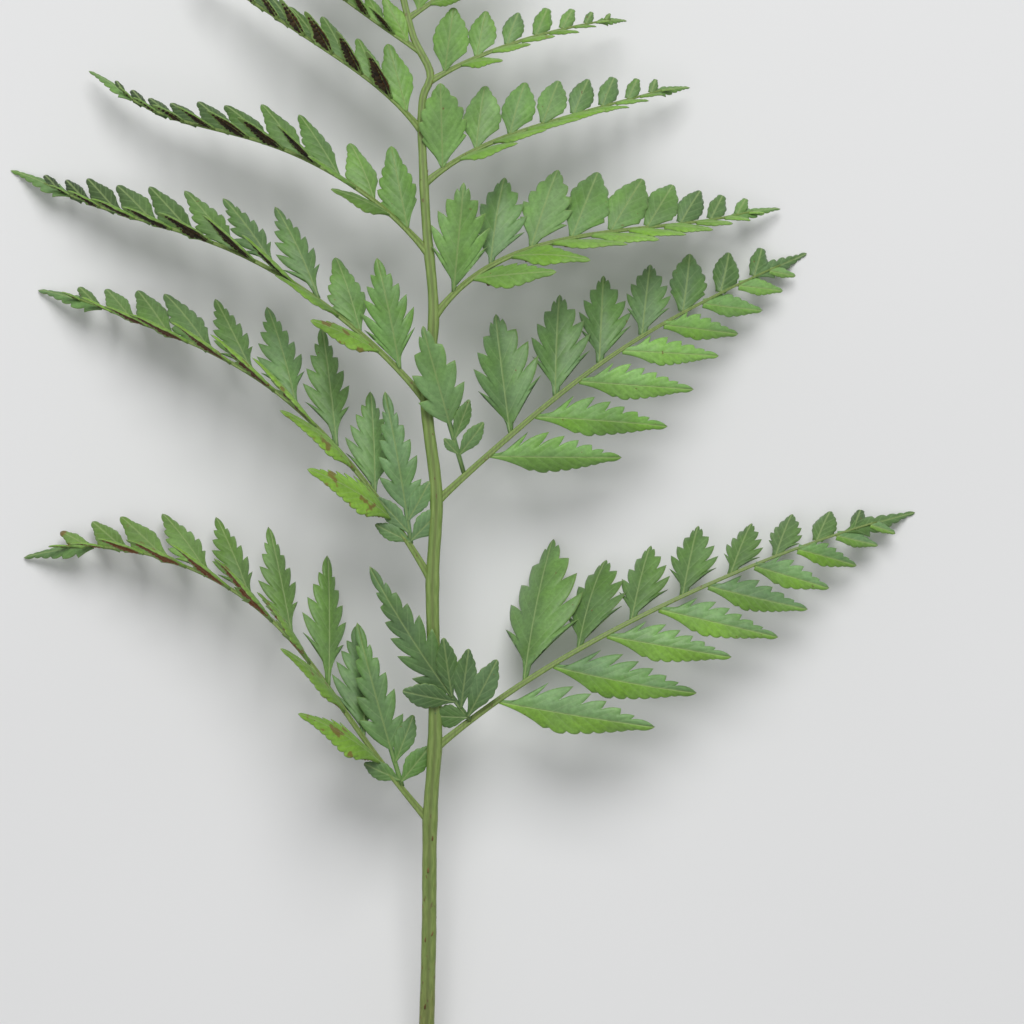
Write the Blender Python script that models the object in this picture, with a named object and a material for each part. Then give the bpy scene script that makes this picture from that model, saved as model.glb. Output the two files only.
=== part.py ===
"""Leatherleaf fern frond, cut and lying face up, grown as one body.

Every pinna is one thin arched blade whose outline is cut to its rib, so its leaflets and lobes are
part of the blade. The pinnae are sunk into the rachis and joined with it. Tables are in
millimetres and degrees, and the finished mesh is in metres. X runs across the frond, Y runs from
the cut end to the tip, and the table is at Z = 0.
"""

import math
from collections import namedtuple

import bpy
import numpy as np

MM = 0.001

# Middle of the frond's outline, in the tables' own frame
CENTRE = (10.1, 79.4)

# Line of the stalk and rachis: across, along and height, with the lowest pinna at along = 0
RACHIS_LINE = (
    (-9.0, -157.0, 2.0),
    (-7.5, -138.0, 2.4),
    (-2.5, -90.0, 10.5),
    (-0.5, -40.0, 19.5),
    (0.0, 0.0, 25.0),
    (1.6, 28.0, 28.5),
    (0.8, 70.0, 32.5),
    (2.0, 98.0, 34.0),
    (-0.9, 126.0, 34.8),
    (1.2, 152.0, 34.2),
    (-1.2, 182.0, 32.5),
    (-2.4, 214.0, 29.5),
    (0.2, 224.0, 28.5),
    (-4.8, 235.0, 27.2),
    (-8.7, 250.0, 25.0),
    (-13.0, 270.0, 21.5),
    (-16.2, 292.0, 17.5),
    (-17.0, 300.0, 16.0),
)
# Radius of that line at the same kind of distance along
RACHIS_RADII = ((-157.0, 2.3), (-60.0, 2.2), (30.0, 2.0), (120.0, 1.7), (210.0, 1.15), (300.0, 0.5))
RACHIS_SIDES = 8
STALK_RINGS = (-157.0, -138.0, -112.0, -84.0, -55.0, -25.0)
RACHIS_END = 300.0
FLAT_SPOT_END = -138.0

# One leaf branch. bend holds its heading at the base, at one third, at two thirds and at the tip,
# measured from straight across toward the frond's tip. roll turns its face toward the tip. vee folds
# its rows of leaflets up: the upper row, then the lower row near the base and far out. pairs counts
# the leaflets of a row, upper and lower are the rows' longest, and first is how much longer the
# lowest upper one is and how far it lifts. slants holds the angle between costa and leaflet for that
# first one, the upper row and the lower row.
Pinna = namedtuple(
    "Pinna", "name side start length bend roll vee tip_height pairs upper lower first slants"
)
LOW_PINNAE = (
    Pinna(
        "left_1", -1, 0, 159, (49, 54, 22, -12), 46, (24, 30, 52), 3.5, 10, 38, 36, (1.30, 26),
        (22, 42, 46),
    ),
    Pinna(
        "right_1", 1, 22, 164, (40, 29, 22, 14), 20, (-12, -12, -8), 3.0, 10, 36, 46, (1.6, 42),
        (90, 60, 48),
    ),
    Pinna(
        "left_2", -1, 72, 155, (60, 47, 24, 20), 44, (24, 30, 54), 3.0, 10, 36, 35, (1.25, 26),
        (26, 42, 46),
    ),
    Pinna(
        "right_2", 1, 96, 138, (43, 39, 29, 23), 2, (-4, -4, 4), 0.4, 9, 37, 42, (1.28, 26),
        (66, 58, 46),
    ),
    Pinna(
        "left_3", -1, 126, 148, (50, 34, 17, 31), 42, (26, 28, 66), 0.4, 11, 31, 28, (1.1, 26),
        (36, 39, 46),
    ),
    Pinna(
        "right_3", 1, 151, 114, (54, 17, 7, 18), 36, (24, 12, 42), 4.0, 10, 29, 27, (1.12, 26),
        (42, 60, 46),
    ),
    Pinna(
        "left_4", -1, 170, 120, (50, 29, 15, 48), 56, (30, 14, 68), 7.0, 11, 25, 22, (1.0, 20),
        (34, 38, 46),
    ),
    Pinna(
        "right_4", 1, 191, 87, (40, 21, 17, 17), 34, (26, 42, 52), 8.0, 9, 19, 20, (1.3, 20),
        (58, 60, 46),
    ),
    Pinna(
        "left_5", -1, 207, 88, (50, 35, 34, 32), 56, (32, 70, 84), 10.0, 9, 21, 18, (1.0, 20),
        (30, 36, 46),
    ),
    Pinna(
        "right_5", 1, 222, 63, (30, 22, 15, 11), 30, (22, 44, 52), 12.0, 7, 14, 14, (1.3, 20),
        (56, 58, 46),
    ),
    Pinna(
        "left_6", -1, 231, 56, (32, 36, 36, 34), 48, (28, 72, 84), 13.0, 7, 15, 13, (1.0, 20),
        (30, 34, 46),
    ),
)
# The pinnae above those shorten by a rule up to the tip
TOP_START = 241.0
TOP_END = 293.0
TOP_COUNT = 9
TOP_LENGTH = 48.0
TOP_TAPER = 1.1

# Midrib of a pinna. It arches by a share of its length, has part of its roll at the base and all of
# it a little further out, and is finer on a pinna shorter than FINE_BELOW
COSTA_WIDTH = 2.1
COSTA_WIDTH_AT_TIP = 0.8
COSTA_THICKNESS = 1.3
COSTA_ARCH = 0.045
ROLL_AT_BASE = 0.35
ROLL_SPAN = 0.18
FINE_BELOW = 110
FINE_LEAST = 0.55

# Leaflets of a row: where the first stands, how they crowd toward the tip, and how their length and
# slant fall. Widths are shares of a leaflet's length and of its lane, for the upper and lower row
BLADE_THICKNESS = 0.62
FIRST_AT = 0.085
PAST_LAST = 0.7
CROWDING = 1.45
LENGTH_FALL = 2.0
LENGTH_CHANGE = 0.05
SLANT_FALL = 16.0
SLANT_CHANGE = 3.0
SECOND_LIKE_FIRST = 0.35
WIDTH_SHARE = (0.48, 0.38)
LANE_SHARE = (1.30, 0.98)
FIRST_WIDTH = 0.36
FIRST_LANE = 0.95
ROOT_SHARE = 0.30

# How leaflets stand: the fold from the low to the far angle between two shares of the costa, the
# turn of each about its own rib, and the bend of its tip and of its edges away from the face
FOLD_SPAN = (0.05, 0.45)
SHINGLE = 13.0
DROOP = 0.14
EDGE_DROOP = 0.10
LOWEST = 0.36

# Lobes of a leaflet's edge: their number by its length, the stretch they share and their depth
LOBES_BY_LENGTH = ((27.0, 3), (17.5, 2), (11.5, 1))
WIDEST_AT = 0.3
LOBES_SPAN = 0.56
LOBES_OFFSET = 0.04
LOBE_DEPTH = (0.58, 0.44)
DEPTH_FALL = 0.10
FREE_DEPTH = 0.84
FREE_LENGTH = 30
NOTCH_DROP = 0.35
SHOULDER_FROM = 7.0


def catmull(points, per_span):
    """A smooth line through the points."""
    points = np.array(points, float)
    ends = np.vstack([2 * points[0] - points[1], points, 2 * points[-1] - points[-2]])
    line = []
    for before, here, there, after in zip(ends, ends[1:], ends[2:], ends[3:]):
        for t in np.arange(per_span) / per_span:
            line.append(
                0.5
                * (
                    2 * here
                    + (there - before) * t
                    + (2 * before - 5 * here + 4 * there - after) * t**2
                    + (3 * here - before - 3 * there + after) * t**3
                )
            )
    line.append(points[-1])
    return np.array(line)


RACHIS = catmull(RACHIS_LINE, 24)


def rachis_point(along):
    return np.array([np.interp(along, RACHIS[:, 1], RACHIS[:, k]) for k in range(3)])


def rachis_radius(along):
    places, radii = zip(*RACHIS_RADII)
    return np.interp(along, places, radii)


def unit(vector):
    return vector / np.linalg.norm(vector)


def wander(*keys):
    """A fixed value from -1 to 1 for each set of keys, so that no two leaflets are alike."""
    value = 0.0
    for place, key in enumerate(keys):
        value += math.sin((place + 1) * 12.9898 + key * 78.233) * 437.585
    return 2 * (value - math.floor(value)) - 1


def top_pinnae():
    """The small pinnae near the tip, alternate and ever shorter, and the last leaflets."""
    pinnae = []
    for k in range(TOP_COUNT):
        share = k / (TOP_COUNT - 1)
        start = TOP_START + (TOP_END - TOP_START) * share**0.9
        length = TOP_LENGTH * (1 - 0.84 * share**0.9) ** TOP_TAPER
        height = rachis_point(start)[2] - 0.2 * length
        side = 1 if k % 2 == 0 else -1
        heading = 30 + 4 * side + 14 * share
        pairs = max(3, round(7 - 4 * share))
        body = 3.0 + 0.2 * length
        bend = (heading, heading, heading + 2, heading + 4)
        slants = (50, 52, 46)
        pinnae.append(
            Pinna(
                f"top_{k}", side, start, length, bend, 24, (18, 40, 50), height, pairs, body, body,
                (1, 10), slants,
            )
        )
    tip = Pinna(
        "tip", 1, 294, 22, (96, 96, 95, 93), 0, (12, 12, 12), 12.0, 6, 6.0, 6.0, (1, 0), (40, 42, 42)
    )
    return pinnae + [tip]


class Costa:
    """The midrib of one pinna, with its place and frame at any share of its length."""

    SAMPLES = 120

    def __init__(self, pinna):
        self.pinna = pinna
        start = rachis_point(pinna.start)
        shares = np.linspace(0, 1, self.SAMPLES + 1)
        heading = np.radians(catmull([(h,) for h in pinna.bend], 40)[:, 0])
        heading = np.interp(shares, np.linspace(0, 1, len(heading)), heading)
        step = pinna.length / self.SAMPLES
        flat = np.column_stack([pinna.side * np.cos(heading), np.sin(heading)]) * step
        flat = np.vstack([[0, 0], np.cumsum(flat[:-1], axis=0)]) + start[:2]
        rise = COSTA_ARCH * pinna.length * np.sin(np.pi * shares)
        height = start[2] + (pinna.tip_height - start[2]) * shares**1.25 + rise
        self.points = np.column_stack([flat, height])
        self.shares = shares

    def point(self, share):
        return np.array([np.interp(share, self.shares, self.points[:, k]) for k in range(3)])

    def frame(self, share):
        """Tangent, the direction toward the frond's tip, and the face's normal, with the roll."""
        share = min(max(share, 0.0), 1.0)
        low, high = max(share - 0.02, 0.0), min(share + 0.02, 1.0)
        tangent = unit(self.point(high) - self.point(low))
        across = unit(np.cross((0, 0, 1), tangent)) * self.pinna.side
        normal = np.cross(tangent, across) * self.pinna.side
        roll = math.radians(self.pinna.roll) * min(1.0, ROLL_AT_BASE + share / ROLL_SPAN)
        return (
            tangent,
            math.cos(roll) * across - math.sin(roll) * normal,
            math.cos(roll) * normal + math.sin(roll) * across,
        )

    def fine(self):
        return FINE_LEAST + (1 - FINE_LEAST) * min(1.0, self.pinna.length / FINE_BELOW)

    def width(self, share):
        return (COSTA_WIDTH + (COSTA_WIDTH_AT_TIP - COSTA_WIDTH) * share) * self.fine()


Leaflet = namedtuple("Leaflet", "share row length width slant root index")


def leaflets(pinna):
    """Both rows of leaflets of one pinna, from its base to its tip."""
    rows = []
    first_slant, upper_slant, lower_slant = pinna.slants
    for row, body, slant in ((1, pinna.upper, upper_slant), (-1, pinna.lower, lower_slant)):
        shift = 0.0 if row > 0 else 0.5
        places = []
        for k in range(pinna.pairs + 1):
            left = 1 - (k + shift) / (pinna.pairs + PAST_LAST)
            places.append(1 - (1 - FIRST_AT) * left**CROWDING)
        for k in range(pinna.pairs):
            spacing = (places[k + 1] - places[k]) * pinna.length
            length = body * (1 - places[k] ** LENGTH_FALL)
            length *= 1 + LENGTH_CHANGE * wander(pinna.start, row, k)
            angle = slant - SLANT_FALL * places[k] + SLANT_CHANGE * wander(k, pinna.start, row)
            if k < 2 and row > 0:
                length *= 1 + (pinna.first[0] - 1) * (1 if k == 0 else SECOND_LIKE_FIRST)
            lane = spacing * math.sin(math.radians(angle))
            kind = 0 if row > 0 else 1
            width = min(WIDTH_SHARE[kind] * length, LANE_SHARE[kind] * lane)
            if k == 0 and row > 0:
                angle = first_slant
                lane = LANE_SHARE[kind] * FIRST_LANE * spacing
                width = min(WIDTH_SHARE[kind] * length, lane, FIRST_WIDTH * length)
            root = min(ROOT_SHARE * spacing, 0.2 * width + 0.4, 0.9 * FIRST_AT * pinna.length)
            rows.append(Leaflet(places[k], row, length, width, math.radians(angle), root, k))
    return rows


def envelope(u):
    """Half-width of a leaflet through its lobes' tips, as a share of the widest."""
    if u < WIDEST_AT:
        return (u / WIDEST_AT) ** 0.8
    return 1 - ((u - WIDEST_AT) / (1 - WIDEST_AT)) ** 2


def lobe_count(length):
    """Lobes cut on each side: fewer on a shorter leaflet."""
    for limit, count in LOBES_BY_LENGTH:
        if length > limit:
            return count
    return 0


def edge(leaflet, side, freed):
    """One side of a leaflet: for each lobe its points, ending with the notch above it."""
    half = leaflet.width / 2 * (1.1 if side > 0 else 0.9)
    count = lobe_count(leaflet.length)
    lobes = []
    low = np.array([leaflet.root, 0.0])
    for k in range(count):
        place = WIDEST_AT + LOBES_SPAN * k / count + LOBES_OFFSET * (side > 0)
        free = k < freed
        depth = LOBE_DEPTH[0 if leaflet.row > 0 else 1] - DEPTH_FALL * k
        if free:
            depth = FREE_DEPTH
        tip = np.array([half * envelope(place), place * leaflet.length])
        notch_x = tip[0] * (1 - depth)
        notch = np.array([notch_x, tip[1] - NOTCH_DROP * (tip[0] - notch_x)])
        if free:
            back = low + (tip - low) * 0.55 + np.array([0.13, -0.10]) * leaflet.width
            front = notch + (tip - notch) * 0.55 + np.array([0.02, 0.10]) * leaflet.width
            lobes.append([back, tip, front, notch])
        else:
            lobes.append([tip, notch])
        low = notch
    if leaflet.length > SHOULDER_FROM:
        shoulder = 0.45 if count == 0 else 0.85
        lobes.append([np.array([half * envelope(shoulder), shoulder * leaflet.length])])
    return lobes


class Sheet:
    """A thin blade: points with a normal and a thickness, and triangles alike on both faces."""

    def __init__(self):
        self.points = []
        self.normals = []
        self.thickness = []
        self.triangles = []

    def add(self, point, normal, thickness):
        self.points.append(point)
        self.normals.append(normal)
        self.thickness.append(thickness)
        return len(self.points) - 1

    def face(self, *corners, flip=False):
        """A fan of triangles over the corners."""
        for second, third in zip(corners[1:], corners[2:]):
            triangle = (corners[0], second, third)
            self.triangles.append(triangle[::-1] if flip else triangle)

    def rim(self):
        """Edges that only one triangle uses, in its direction."""
        edges = set()
        for triangle in self.triangles:
            for start, end in zip(triangle, triangle[1:] + triangle[:1]):
                if (end, start) in edges:
                    edges.remove((end, start))
                else:
                    edges.add((start, end))
        return sorted(edges)

    def mesh(self, name, flip):
        """The closed blade as a Blender object."""
        middle = np.array(self.points)
        normal = np.array(self.normals)
        half = np.array(self.thickness)[:, None] / 2
        middle[:, 2] = np.maximum(middle[:, 2], LOWEST)
        top = middle + normal * half
        bottom = middle - normal * half
        bottom[:, 2] = np.maximum(bottom[:, 2], 0.02)
        top[:, 2] = np.maximum(top[:, 2], 0.02 + 0.6 * BLADE_THICKNESS)
        count = len(middle)
        faces = [tuple(t) for t in self.triangles]
        faces += [tuple(k + count for k in t[::-1]) for t in self.triangles]
        for start, end in self.rim():
            faces.append((end, start, start + count))
            faces.append((end, start + count, end + count))
        if flip:
            faces = [face[::-1] for face in faces]
        return mesh_object(name, np.vstack([top, bottom]), faces)


def mesh_object(name, points, faces):
    shift = np.array([CENTRE[0], CENTRE[1], 0.0])
    mesh = bpy.data.meshes.new(name)
    mesh.from_pydata(((points - shift) * MM).tolist(), [], faces)
    mesh.update()
    item = bpy.data.objects.new(name, mesh)
    bpy.context.scene.collection.objects.link(item)
    return item


def smooth(value, low, high):
    """Smooth change from 0 to 1 as the value goes from low to high."""
    t = min(1.0, max(0.0, (value - low) / (high - low)))
    return t * t * (3 - 2 * t)


def row_fold(pinna, leaflet):
    """How far a leaflet folds up from the pinna's face, in radians."""
    upper, low, far = pinna.vee
    if leaflet.row < 0:
        return math.radians(low + (far - low) * smooth(leaflet.share, *FOLD_SPAN))
    return math.radians(upper + (pinna.first[1] if leaflet.index == 0 else 0.0))


def add_leaflet(sheet, costa, leaflet, low, high):
    """One leaflet on the costa's edge between the points low and high."""
    tangent, toward, normal = costa.frame(leaflet.share)
    vee = row_fold(costa.pinna, leaflet)
    reach = math.cos(vee) * toward * leaflet.row + math.sin(vee) * normal
    face = math.cos(vee) * normal - math.sin(vee) * toward * leaflet.row
    along = math.cos(leaflet.slant) * tangent + math.sin(leaflet.slant) * reach
    side = math.sin(leaflet.slant) * tangent - math.cos(leaflet.slant) * reach
    shingle = math.radians(SHINGLE)
    side, face = (
        math.cos(shingle) * side + math.sin(shingle) * face,
        math.cos(shingle) * face - math.sin(shingle) * side,
    )
    origin = costa.point(leaflet.share) + reach * costa.width(leaflet.share) / 2
    droop = DROOP * (1 + 0.5 * wander(leaflet.index, costa.pinna.start, 5))
    flip = leaflet.row < 0
    free = (0, 0)
    if leaflet.index == 0 and leaflet.row > 0 and leaflet.length > FREE_LENGTH:
        free = (1, 2) if costa.pinna.side > 0 else (2, 0)

    def place(x, y):
        drop = droop * y * y / leaflet.length + EDGE_DROOP * x * x / max(leaflet.width, 1.0)
        return sheet.add(origin + along * y + side * x - face * drop, face, BLADE_THICKNESS)

    left, right = [low], [high]
    for sign, notches, count in ((-1, left, free[0]), (1, right, free[1])):
        for lobe in edge(leaflet, sign, count):
            corners = [notches[-1]] + [place(sign * x, y) for x, y in lobe]
            if len(corners) > 2:
                add_lobe(sheet, corners, flip != (sign < 0))
            notches.append(corners[-1])
    tip = place(0.0, leaflet.length)
    for k in range(len(left) - 1):
        sheet.face(left[k], right[k], right[k + 1], left[k + 1], flip=flip)
    sheet.face(left[-1], right[-1], tip, flip=flip)


def add_lobe(sheet, corners, flip):
    """A lobe between the notch below it, its first corner, and the notch above it, its last."""
    if len(corners) == 3:
        sheet.face(*corners, flip=flip)
        return
    below, back, tip, front, above = corners
    sheet.face(below, back, above, flip=flip)
    sheet.face(back, front, above, flip=flip)
    sheet.face(back, tip, front, flip=flip)


def edge_normal(costa, share, row):
    """Normal shared by the costa and the row of leaflets on that side of it."""
    _, toward, normal = costa.frame(share)
    upper, low, far = costa.pinna.vee
    half = math.radians(upper if row > 0 else min(low, far)) / 2
    return (math.cos(half) * normal - math.sin(half) * toward * row) / math.cos(half)


def build_pinna(pinna):
    """One pinna as a closed blade, its costa's foot at the middle of the rachis."""
    costa = Costa(pinna)
    sheet = Sheet()
    sides = {1: [], -1: []}

    def costa_point(share, row):
        point = costa.point(share) + costa.frame(share)[1] * row * costa.width(share) / 2
        thickness = (COSTA_THICKNESS * (1 - share) + BLADE_THICKNESS * share) * costa.fine()
        thickness = max(thickness, BLADE_THICKNESS)
        return sheet.add(point, edge_normal(costa, share, row), thickness)

    rows = leaflets(pinna)
    roots = []
    for row in (1, -1):
        sides[row].append((0.0, costa_point(0.0, row)))
        for leaflet in [item for item in rows if item.row == row]:
            half = leaflet.root / pinna.length
            low = (leaflet.share - half, costa_point(leaflet.share - half, row))
            high = (leaflet.share + half, costa_point(leaflet.share + half, row))
            sides[row] += [low, high]
            roots.append((leaflet, low[1], high[1]))
    end = (1.0, sheet.add(costa.point(1.0), costa.frame(1.0)[2], BLADE_THICKNESS))
    upper, lower = sides[1] + [end], sides[-1] + [end]
    i = j = 0
    while i < len(upper) - 1 or j < len(lower) - 1:
        go_upper = j == len(lower) - 1 or (i < len(upper) - 1 and upper[i + 1][0] <= lower[j + 1][0])
        if go_upper:
            corners = (upper[i][1], lower[j][1], upper[i + 1][1])
            i += 1
        else:
            corners = (lower[j][1], lower[j + 1][1], upper[i][1])
            j += 1
        if len(set(corners)) == 3:
            sheet.face(*corners)
    for leaflet, low, high in roots:
        add_leaflet(sheet, costa, leaflet, low, high)
    return sheet.mesh(pinna.name, pinna.side < 0)


def build_rachis(pinnae):
    """Stalk and rachis, with a ring at each pinna's foot and a flat spot under the cut end."""
    stations = STALK_RINGS + tuple(pinna.start for pinna in pinnae) + (RACHIS_END,)
    points, faces = [], []
    for along in stations:
        centre = rachis_point(along)
        forward = unit(rachis_point(along + 2) - rachis_point(along - 2))
        across = unit(np.cross(forward, (0, 0, 1)))
        up = np.cross(across, forward)
        radius = rachis_radius(along)
        for k in range(RACHIS_SIDES):
            turn = 2 * math.pi * (k + 0.5) / RACHIS_SIDES
            point = centre + radius * (math.cos(turn) * across + math.sin(turn) * up)
            if along <= FLAT_SPOT_END and math.sin(turn) < -0.6:
                point[2] = 0.0
            points.append(point)
    for ring in range(len(stations) - 1):
        for k in range(RACHIS_SIDES):
            low = ring * RACHIS_SIDES + k
            low_next = ring * RACHIS_SIDES + (k + 1) % RACHIS_SIDES
            faces.append((low, low_next, low_next + RACHIS_SIDES, low + RACHIS_SIDES))
    faces.append(tuple(range(RACHIS_SIDES))[::-1])
    last = (len(stations) - 1) * RACHIS_SIDES
    faces.append(tuple(range(last, last + RACHIS_SIDES)))
    rachis = mesh_object("frond", np.array(points), faces)
    for side in rachis.data.polygons[:-2]:
        side.use_smooth = True
    return rachis


def leaf_material():
    material = bpy.data.materials.new("leaf")
    material.use_nodes = True
    shader = material.node_tree.nodes["Principled BSDF"]
    shader.inputs["Base Color"].default_value = (0.10, 0.22, 0.07, 1)
    shader.inputs["Roughness"].default_value = 0.45
    shader.inputs["Metallic"].default_value = 0.0
    return material


def join_all(body, others):
    """One body from the rachis and all pinnae."""
    group = bpy.data.collections.new("pinnae")
    for item in others:
        bpy.context.scene.collection.objects.unlink(item)
        group.objects.link(item)
    union = body.modifiers.new("join", "BOOLEAN")
    union.operation = "UNION"
    union.operand_type = "COLLECTION"
    union.collection = group
    union.solver = "EXACT"
    union.use_self = True
    bpy.context.view_layer.update()
    joined = bpy.data.meshes.new_from_object(body.evaluated_get(bpy.context.evaluated_depsgraph_get()))
    body.modifiers.clear()
    body.data = joined
    for item in list(others):
        bpy.data.objects.remove(item, do_unlink=True)
    bpy.data.collections.remove(group)


def main():
    for item in list(bpy.data.objects):
        bpy.data.objects.remove(item, do_unlink=True)
    pinnae = LOW_PINNAE + tuple(top_pinnae())
    frond = build_rachis(pinnae)
    blades = [build_pinna(pinna) for pinna in pinnae]
    join_all(frond, blades)
    frond.data.name = "frond"
    frond.data.materials.clear()
    frond.data.materials.append(leaf_material())


main()
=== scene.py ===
"""Looks of the leatherleaf fern frond: toothed and veined leaflets, grooved stems, sori and scales.

The tables repeat the frond's own measures in millimetres and degrees, in the frame of part.py.
"""

import math
from collections import namedtuple

import bpy
import numpy as np
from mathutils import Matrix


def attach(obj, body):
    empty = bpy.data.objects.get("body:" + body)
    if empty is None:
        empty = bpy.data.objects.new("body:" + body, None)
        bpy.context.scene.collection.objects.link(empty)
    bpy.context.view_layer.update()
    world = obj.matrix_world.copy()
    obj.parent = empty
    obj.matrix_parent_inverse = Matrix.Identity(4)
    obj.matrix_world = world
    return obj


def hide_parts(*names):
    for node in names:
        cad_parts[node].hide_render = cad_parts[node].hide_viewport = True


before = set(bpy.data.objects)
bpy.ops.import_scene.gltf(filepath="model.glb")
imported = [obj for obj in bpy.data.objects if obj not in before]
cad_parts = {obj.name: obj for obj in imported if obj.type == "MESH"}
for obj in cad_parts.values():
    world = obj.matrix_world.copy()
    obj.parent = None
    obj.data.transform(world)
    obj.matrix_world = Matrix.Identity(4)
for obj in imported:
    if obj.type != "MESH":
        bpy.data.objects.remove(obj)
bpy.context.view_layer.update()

MM = 0.001
CENTRE = (10.1, 79.4, 0.0)

# Line of the stalk and rachis: across, along and height
RACHIS_LINE = (
    (-9.0, -157.0, 2.0), (-7.5, -138.0, 2.4), (-2.5, -90.0, 10.5),
    (-0.5, -40.0, 19.5), (0.0, 0.0, 25.0), (1.6, 28.0, 28.5),
    (0.8, 70.0, 32.5), (2.0, 98.0, 34.0), (-0.9, 126.0, 34.8),
    (1.2, 152.0, 34.2), (-1.2, 182.0, 32.5), (-2.4, 214.0, 29.5),
    (0.2, 224.0, 28.5), (-4.8, 235.0, 27.2), (-8.7, 250.0, 25.0),
    (-13.0, 270.0, 21.5), (-16.2, 292.0, 17.5), (-17.0, 300.0, 16.0),
)
RACHIS_RADII = ((-157.0, 2.3), (-60.0, 2.2), (30.0, 2.0), (120.0, 1.7), (210.0, 1.15), (300.0, 0.5))
RACHIS_START = -157.0
RACHIS_END = 300.0

# Low leaf branches, left and right by turns: start on the rachis, length, four headings, roll, fold
# of the upper row and of the lower row's first and last leaflets, the tip's height, leaflet pairs,
# longest upper and lower leaflet, the first upper one's length share and extra fold, and slants of
# the first upper, the upper and the lower leaflets. The lower rows of the first three left-hand
# branches end more folded than in part.py.
Pinna = namedtuple(
    "Pinna", "name side start length bend roll vee tip_height pairs upper lower first slants"
)
LOW_ROWS = (
    (0, 159, (49, 54, 22, -12), 46, (24, 30, 66), 3.5, 10, 38, 36, (1.30, 26), (22, 42, 46)),
    (22, 164, (40, 29, 22, 14), 20, (-12, -12, -8), 3.0, 10, 36, 46, (1.6, 42), (90, 60, 48)),
    (72, 155, (60, 47, 24, 20), 44, (24, 30, 64), 3.0, 10, 36, 35, (1.25, 26), (26, 42, 46)),
    (96, 138, (43, 39, 29, 23), 2, (-4, -4, 4), 0.4, 9, 37, 42, (1.28, 26), (66, 58, 46)),
    (126, 148, (50, 34, 17, 31), 42, (26, 28, 76), 0.4, 11, 31, 28, (1.1, 26), (36, 39, 46)),
    (151, 114, (54, 17, 7, 18), 36, (24, 12, 42), 4.0, 10, 29, 27, (1.12, 26), (42, 60, 46)),
    (170, 120, (50, 29, 15, 48), 56, (30, 14, 68), 7.0, 11, 25, 22, (1.0, 20), (34, 38, 46)),
    (191, 87, (40, 21, 17, 17), 34, (26, 42, 52), 8.0, 9, 19, 20, (1.3, 20), (58, 60, 46)),
    (207, 88, (50, 35, 34, 32), 56, (32, 70, 84), 10.0, 9, 21, 18, (1.0, 20), (30, 36, 46)),
    (222, 63, (30, 22, 15, 11), 30, (22, 44, 52), 12.0, 7, 14, 14, (1.3, 20), (56, 58, 46)),
    (231, 56, (32, 36, 36, 34), 48, (28, 72, 84), 13.0, 7, 15, 13, (1.0, 20), (30, 34, 46)),
)
LOW_PINNAE = tuple(
    Pinna(f"{'right' if k % 2 else 'left'}_{k // 2 + 1}", 1 if k % 2 else -1, *row)
    for k, row in enumerate(LOW_ROWS)
)
TOP_START = 241.0
TOP_END = 293.0
TOP_COUNT = 9
TOP_LENGTH = 48.0
TOP_TAPER = 1.1

# Rib of a pinna: its size, its arch, its roll and how much finer it is on a short pinna
COSTA_WIDTH = 2.1
COSTA_WIDTH_AT_TIP = 0.8
COSTA_THICKNESS = 1.3
COSTA_ARCH = 0.045
COSTA_FALL = 1.25
ROLL_AT_BASE = 0.35
ROLL_SPAN = 0.18
FINE_LEAST = 0.55
FINE_BELOW = 110.0
TERMINAL_AT = 0.86

# Leaflets: places along the rib, lengths, slants, widths and how they tilt and fold
FIRST_AT = 0.085
CROWDING = 1.45
PAST_LAST = 0.7
LENGTH_FALL = 2.0
LENGTH_CHANGE = 0.05
SECOND_LIKE_FIRST = 0.35
SLANT_FALL = 16.0
SLANT_CHANGE = 3.0
WIDTH_SHARE = (0.53, 0.40)
LANE_SHARE = (1.55, 1.05)
FIRST_LANE = 0.95
SHINGLE = 13.0
SHINGLE_CHANGE = 0.4
FOLD_SPAN = (0.05, 0.45)
TENT = 0.24
TENT_OF_FREE = 0.05
CLEAR_OF_RACHIS = 1.2
FINE_LEAFLET = 14.0
RIB_REACH = 0.86

# Sori: their last place along a pinna, and the fold from which they stand dense
LAST_SORI = 0.93
DENSE_FOLD = 60

# Colour of the two rows of each low pinna, partly painted light: blue share, which paints the sky's
# reflection on the rows that face the light, lightness, which paints each row's light and shade,
# and yellow share
ROW_TONES_AND_PAINTED_LIGHT = {
    "left_1": ((0.75, 0.0, 0.2), (0.1, 0.25, 0.9)),
    "right_1": ((0.65, -0.2, 0.15), (0.6, 0.45, 0.3)),
    "left_2": ((0.85, 0.15, 0.15), (0.1, 0.3, 0.95)),
    "right_2": ((0.85, -0.05, 0.1), (0.55, 0.7, 0.3)),
    "left_3": ((0.75, 0.2, 0.25), (0.15, 0.2, 0.8)),
    "right_3": ((0.75, 0.15, 0.2), (0.3, 0.45, 0.55)),
    "left_4": ((0.65, 0.1, 0.25), (0.2, 0.0, 0.5)),
    "right_4": ((0.75, 0.3, 0.25), (0.25, 0.4, 0.6)),
    "left_5": ((0.65, 0.1, 0.3), (0.2, 0.0, 0.5)),
    "right_5": ((0.7, 0.25, 0.3), (0.25, 0.35, 0.6)),
}
# The same for the small pinnae near the tip, with the same painted reflection and light
TOP_TONES_AND_PAINTED_LIGHT = ((0.5, 0.1, 0.45), (0.3, 0.1, 0.5))
TONE_CHANGE = (0.15, 0.14, 0.12)
# How the upper row's lightness falls and its yellow grows toward the tip of a pinna
FADE = {"left_1": (0.15, 0.9), "left_2": (0.7, 0.45)}
FADE_ON_LEFT = (1.8, 0.0)
FADE_ON_RIGHT = (0.3, 0.0)
FADE_FROM = 0.20
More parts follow.
